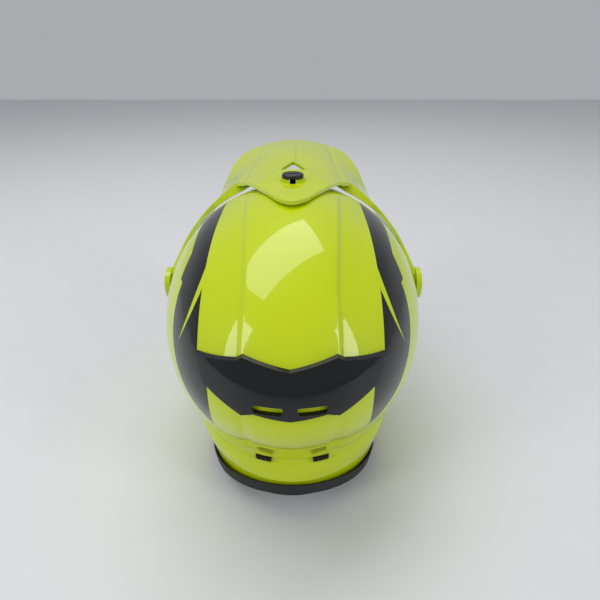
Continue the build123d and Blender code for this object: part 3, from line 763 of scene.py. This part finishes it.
def shell_paint():
    """Sprayed fluorescent yellow and black under one clear coat, with crisp masked edges."""
    made, tree, shader = material("lacquered_two_colour_shell")
    parts = add(tree, "ShaderNodeSeparateXYZ", Vector=place(tree))
    side = maths(tree, "MULTIPLY", maths(tree, "ABSOLUTE", parts.outputs["X"]), 1000.0)
    y = maths(tree, "MULTIPLY", parts.outputs["Y"], 1000.0)
    z = maths(tree, "MULTIPLY", parts.outputs["Z"], 1000.0)

    def plane(a, b, c, offset):
        """Millimetres inside the half-space a*side + b*y + c*z < offset."""
        total = maths(tree, "MULTIPLY", side, a)
        total = maths(tree, "ADD", total, maths(tree, "MULTIPLY", y, b))
        total = maths(tree, "ADD", total, maths(tree, "MULTIPLY", z, c))
        return maths(tree, "SUBTRACT", offset, total)

    def every(*terms):
        result = terms[0]
        for term in terms[1:]:
            result = maths(tree, "MINIMUM", result, term)
        return result

    def any_of(*terms):
        result = terms[0]
        for term in terms[1:]:
            result = maths(tree, "MAXIMUM", result, term)
        return result

    centre = every(plane(1, -0.035, 0, 67.4), plane(0, 0, -1, -182))
    splinter = every(
        plane(1, 0, 0.4344, 172.0),
        plane(-1, 0, -0.5238, -188.2),
        plane(0, -1, 0, -50),
        plane(-1, 0, 0, -68),
    )
    flank = every(
        plane(0, 0, 1, 215.5),
        plane(0, 1, 0.72, 234.0),
        plane(0, -1, 0.55, 172.0),
        plane(0, -1, -0.55, 12.0),
    )
    shoulder = every(
        plane(-1, 0, 0, -89.6),
        plane(-1, 0.41, 0, -67.5),
        plane(2.23, 1, 0, 289.7),
        plane(0, 0, -1, -214.5),
        plane(0, -1, 0, 40),
    )
    brow = every(plane(1, 0, 0, 46), plane(0, 0, -1, -200), plane(0, 1, 0, -60))
    chin = every(plane(0, 0, 1, 96), plane(0, 1, 0, -60), plane(-1, 0, -0.3, -70))
    lower = every(plane(1, 0, 0, 64.0), plane(0, -1, 0, -88), plane(0, 0, 1, 178))
    inside = any_of(centre, splinter, flank, shoulder, brow, chin, lower)
    mask = add(tree, "ShaderNodeMapRange", {"clamp": True}, Value=inside)
    mask.inputs["From Min"].default_value = -0.12
    mask.inputs["From Max"].default_value = 0.12
    colour = mix_colours(tree, mask.outputs[0], linear(GLOSS_BLACK), fluorescent_colour(tree))
    # the inner face is bare composite: it looks towards the middle of the head
    facing = add(tree, "ShaderNodeVectorMath", {"operation": "SUBTRACT"})
    tree.links.new(place(tree), facing.inputs[0])
    facing.inputs[1].default_value = (0, 0, 0.12)
    outside = add(tree, "ShaderNodeVectorMath", {"operation": "DOT_PRODUCT"})
    tree.links.new(facing.outputs[0], outside.inputs[0])
    tree.links.new(add(tree, "ShaderNodeNewGeometry").outputs["True Normal"], outside.inputs[1])
    painted = maths(tree, "GREATER_THAN", outside.outputs["Value"], 0.0)
    colour = mix_colours(tree, painted, linear("1E1E20"), colour)
    tree.links.new(colour, shader.inputs["Base Color"])
    lacquer_coat(tree, shader)
    return made


def peak_plastic():
    """Injection-moulded nylon in fluorescent yellow, polished mould."""
    made, tree, shader = material("moulded_fluorescent_peak")
    tree.links.new(fluorescent_colour(tree), shader.inputs["Base Color"])
    lacquer_coat(tree, shader)
    return made


def gloss_black():
    """Polished black moulding: deep gloss with hairline scuffs."""
    made, tree, shader = material("polished_black_moulding")
    shader.inputs["Base Color"].default_value = linear("060607")
    scuff = add(tree, "ShaderNodeMapRange", Value=noise(tree, 9, 6.0, 0.7))
    scuff.inputs["To Min"].default_value = 0.03
    scuff.inputs["To Max"].default_value = 0.11
    tree.links.new(scuff.outputs[0], shader.inputs["Roughness"])
    shader.inputs["IOR"].default_value = 1.5
    shader.inputs["Specular IOR Level"].default_value = 0.12
    shader.inputs["Coat Weight"].default_value = 0.8
    shader.inputs["Coat Roughness"].default_value = 0.03
    bump(tree, shader, noise(tree, 3.0, 2.0), 0.008, 0.4)
    return made


def textured_black(name, code, grain_mm, roughness):
    """Black plastic from a spark-eroded mould: a fine even grain."""
    made, tree, shader = material(name)
    tint = mix_colours(tree, noise(tree, 25), linear(code), linear("1B1B1D"))
    tree.links.new(tint, shader.inputs["Base Color"])
    shader.inputs["Roughness"].default_value = roughness
    shader.inputs["IOR"].default_value = 1.49
    bump(tree, shader, noise(tree, grain_mm, 4.0, 0.6), 0.06, 0.6)
    return made


def wave(tree, bands, pitch_mm):
    """Bands that repeat at this pitch."""
    scale = 2 * math.pi / (WAVE_RATE * pitch_mm * MM)
    made = {"bands_direction": bands}
    return add(tree, "ShaderNodeTexWave", made, Vector=place(tree), Scale=scale)


def edge_rubber():
    """Extruded black rubber: dull, slightly dusty, with fine lengthwise drag lines."""
    made, tree, shader = material("extruded_black_rubber")
    dust = mix_colours(tree, noise(tree, 18, 5.0, 0.6), linear("101011"), linear("222224"))
    tree.links.new(dust, shader.inputs["Base Color"])
    shader.inputs["Roughness"].default_value = 0.62
    shader.inputs["IOR"].default_value = 1.52
    lines = wave(tree, "Z", DRAG_LINE_MM)
    lines.inputs["Distortion"].default_value = 1.5
    bump(tree, shader, lines.outputs["Fac"], 0.06, 0.5)
    return made


def bead_foam():
    """Expanded polystyrene: fused beads of about three millimetres with dark joints."""
    made, tree, shader = material("moulded_bead_foam")
    per_metre = 1 / (BEAD_MM * MM)
    beads = add(tree, "ShaderNodeTexVoronoi", Vector=place(tree), Scale=per_metre)
    to_edge = {"feature": "DISTANCE_TO_EDGE"}
    edges = add(tree, "ShaderNodeTexVoronoi", to_edge, Vector=place(tree), Scale=per_metre)
    joint = add(tree, "ShaderNodeMapRange", Value=edges.outputs["Distance"])
    joint.inputs["From Max"].default_value = 0.12
    spread = mix_colours(tree, beads.outputs["Color"], linear("2A2A2C"), linear("3A3A3D"))
    tone = mix_colours(tree, joint.outputs[0], linear("161617"), spread)
    tree.links.new(tone, shader.inputs["Base Color"])
    shader.inputs["Roughness"].default_value = 0.72
    bump(tree, shader, joint.outputs[0], 0.25, 0.7)
    return made


def knit_padding(name, dark, light):
    """Brushed polyester knit over foam: matt, with a soft sheen at grazing angles."""
    made, tree, shader = material(name)
    rows = wave(tree, "Z", KNIT_MM)
    rows.inputs["Distortion"].default_value = 0.6
    columns = wave(tree, "Y", KNIT_MM)
    weave = maths(tree, "MULTIPLY", rows.outputs["Fac"], columns.outputs["Fac"])
    fuzz = maths(tree, "ADD", weave, maths(tree, "MULTIPLY", noise(tree, 0.9, 5.0, 0.7), 0.8))
    tone = mix_colours(tree, fuzz, linear(dark), linear(light))
    tree.links.new(tone, shader.inputs["Base Color"])
    shader.inputs["Roughness"].default_value = 0.92
    shader.inputs["Sheen Weight"].default_value = 0.45
    shader.inputs["Sheen Roughness"].default_value = 0.5
    bump(tree, shader, fuzz, 0.5, 0.8)
    return made


def nylon_webbing():
    """Woven nylon webbing: raised ribs and slanted threads on a dull black tape."""
    made, tree, shader = material("woven_nylon_webbing")
    ribs = wave(tree, "Y", RIB_MM)
    threads = wave(tree, "DIAGONAL", THREAD_MM)
    threads_raised = maths(tree, "MULTIPLY", threads.outputs["Fac"], 0.6)
    weave = maths(tree, "ADD", ribs.outputs["Fac"], threads_raised)
    tone = mix_colours(tree, weave, linear("0C0C0D"), linear("2B2B2E"))
    tree.links.new(tone, shader.inputs["Base Color"])
    shader.inputs["Roughness"].default_value = 0.66
    shader.inputs["Sheen Weight"].default_value = 0.2
    bump(tree, shader, weave, 0.25, 0.8)
    return made


def brushed_metal(name, code, roughness):
    """Bright plated metal with fine brushing and worn high spots."""
    made, tree, shader = material(name)
    shader.inputs["Metallic"].default_value = 1.0
    wear = add(tree, "ShaderNodeMapRange", Value=noise(tree, 4, 6.0, 0.7))
    wear.inputs["To Min"].default_value = roughness * 0.7
    wear.inputs["To Max"].default_value = roughness * 1.5
    tree.links.new(wear.outputs[0], shader.inputs["Roughness"])
    tone = mix_colours(tree, noise(tree, 2.0, 4.0), linear(code), linear("F0F0F0"))
    tree.links.new(mix_colours(tree, 0.75, tone, linear(code)), shader.inputs["Base Color"])
    bump(tree, shader, noise(tree, 0.5, 3.0), 0.01, 0.5)
    return made


def finish_with(piece, made):
    """Gives the whole piece one material."""
    mesh = piece.data
    mesh.materials.clear()
    mesh.materials.append(made)
    for face in mesh.polygons:
        face.material_index = 0


# ================================================================ assembly
look_from_behind()
studio()

FLOOR_HALF = 4000.0
floor_material, floor_tree, floor_shader = material("pale_floor")
floor_tone = mix_colours(floor_tree, noise(floor_tree, 40), linear("D9DADC"), linear("DEDFE1"))
floor_tree.links.new(floor_tone, floor_shader.inputs["Base Color"])
floor_shader.inputs["Roughness"].default_value = 0.6
corners = [(x * FLOOR_HALF, y * FLOOR_HALF, 0) for x, y in ((-1, -1), (1, -1), (1, 1), (-1, 1))]
floor = new_object("floor", corners, [(0, 1, 2, 3)])
floor.data.materials.append(floor_material)

shell = build_shell()
finish_with(shell, shell_paint())
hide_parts("shell")
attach(shell, "helmet")

peak = build_peak()
finish_with(peak, peak_plastic())
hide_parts("peak")
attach(peak, "peak")

black_gloss = gloss_black()
black_grain = textured_black("spark_grained_black_plastic", "111113", 0.5, 0.48)
screw_nylon = textured_black("satin_black_nylon", "0B0B0C", 0.8, 0.32)
rubber = edge_rubber()
foam = bead_foam()
steel = brushed_metal("nickel_plated_steel", "B9BABD", 0.24)
brass = brushed_metal("turned_brass", "C6A25A", 0.3)
padding = knit_padding("brushed_knit_padding", "0E0E10", "26262A")
webbing = nylon_webbing()
CAD_FINISHES = {
    "rear_spoiler": black_gloss,
    "mouth_vent_frame": black_gloss,
    "mouth_vent_grille": black_grain,
    "mouth_vent_shutter": black_grain,
    "nose_guard": black_grain,
    "rear_duct_screens": black_grain,
    "lower_exhaust_inserts": black_grain,
    "crown_vent_inserts": black_grain,
    "lower_edge_trim": rubber,
    "eye_port_trim": rubber,
    "eps_liner": foam,
    "eps_chin_bar": foam,
    "peak_side_screws": screw_nylon,
    "peak_centre_screw": screw_nylon,
    "strap_snap": screw_nylon,
    "peak_side_inserts": brass,
    "peak_centre_insert": brass,
    "strap_anchor_plates": steel,
    "strap_rivets": steel,
    "d_ring_inner": steel,
    "d_ring_outer": steel,
}
for node_name, finish in CAD_FINISHES.items():
    finish_with(NODES[node_name], finish)

liner = sewn_pad(
    "comfort_liner",
    "comfort_liner_sewn",
    [((1, 0, 0), 26), ((1, 0, 0), -26), ((0, 1, 0), 62), ((0, 1, 0), -46), ((0, 0, 1), 150)],
)
neck = sewn_pad("neck_roll", "neck_roll_sewn", [((0, 0, 1), 84), ((1, 0, 0), 30), ((1, 0, 0), -30)])
pads = [liner, neck]
for side, label in ((1, "left"), (-1, "right")):
    seams = [((0, 1, 0), -58), ((0, 1, 0), -16), ((0, 0, 1), 78)]
    pads.append(sewn_pad(f"cheek_pad_{label}", f"cheek_pad_{label}_sewn", seams))
for pad in pads:
    finish_with(pad, padding)
straps = [
    webbing_strap("chin_strap_left", "chin_strap_left_woven", LEFT_ROUTE, 1),
    webbing_strap("chin_strap_right", "chin_strap_right_woven", RIGHT_ROUTE, -1),
]
for strap in straps:
    finish_with(strap, webbing)
thread_black = textured_black("waxed_black_thread", "2C2C30", 0.4, 0.5)
for side, label in ((1, "left"), (-1, "right")):
    pad = pads[2] if side > 0 else pads[3]
    for number, y in enumerate((-60.5, -55.5, -18.5, -13.5)):
        starts = [(0, y, z) for z in np.arange(18, 96, 3.4)]
        row = stitch_row(f"cheek_stitch_{label}_{number}", pad, starts, (side, 0, 0))
        finish_with(row, thread_black)

bpy.context.scene.view_settings.view_transform = "Standard"
